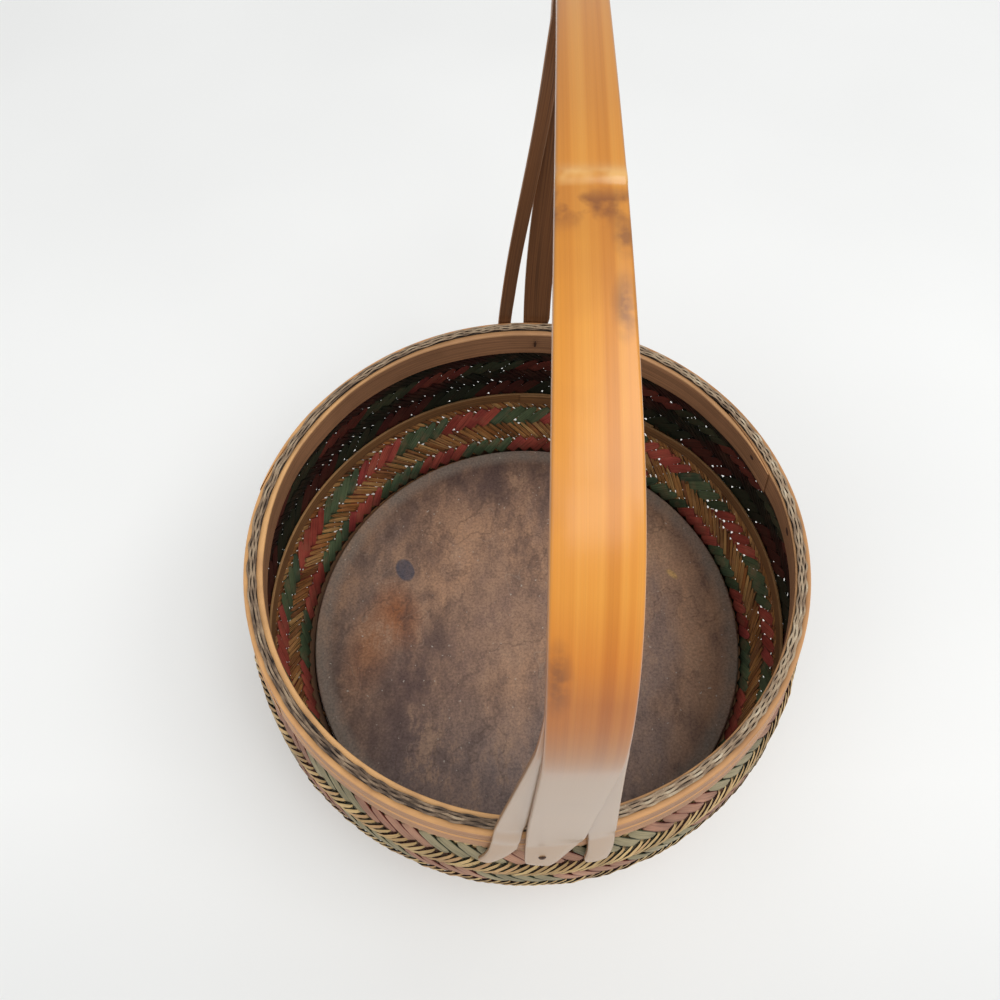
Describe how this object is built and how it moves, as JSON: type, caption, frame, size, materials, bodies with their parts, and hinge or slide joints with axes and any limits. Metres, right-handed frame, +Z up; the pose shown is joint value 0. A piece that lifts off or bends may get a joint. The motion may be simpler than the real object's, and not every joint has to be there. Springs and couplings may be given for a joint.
{
  "type": "bamboo wedding basket",
  "caption": "Round bellied basket of bias-plaited bamboo with a bound rim, a lacquered base board, a foot hoop and a tall fixed bamboo strap handle.",
  "frame": {"origin": "on the floor, on the axis of the round body", "axes": "+Z up; the handle stands across the mouth along Y, with its nailed near foot at -Y; +X to the right of that foot"},
  "size_m": [0.327, 0.327, 0.4171],
  "materials": {
    "plaited_bamboo": "matt plaited strips, natural tan with faded red and green ones",
    "lacquered_board": "worn brown lacquer, satin",
    "rim_binding": "matt twisted strands, dark grey and tan",
    "hoop_bamboo": "satin bamboo, tan outside and brown inside",
    "handle_bamboo": "glossy orange bamboo skin outside, matt brown inside",
    "nail_iron": "dull dark iron"
  },
  "bodies": {
    "root": {"woven_body": "plaited_bamboo", "base_board": "lacquered_board", "rim_plait": "rim_binding", "inner_rim_hoop": "hoop_bamboo", "outer_rim_hoop_upper": "hoop_bamboo", "outer_rim_hoop_lower": "hoop_bamboo", "mid_hoop": "hoop_bamboo", "foot_hoop": "hoop_bamboo", "foot_lining": "hoop_bamboo", "base_slat_near": "hoop_bamboo", "base_slat_far": "hoop_bamboo", "handle_strap": "handle_bamboo", "handle_strip_left": "handle_bamboo", "handle_strip_right": "handle_bamboo", "nail_near": "nail_iron", "nail_far": "nail_iron"}
  },
  "joints": []
}
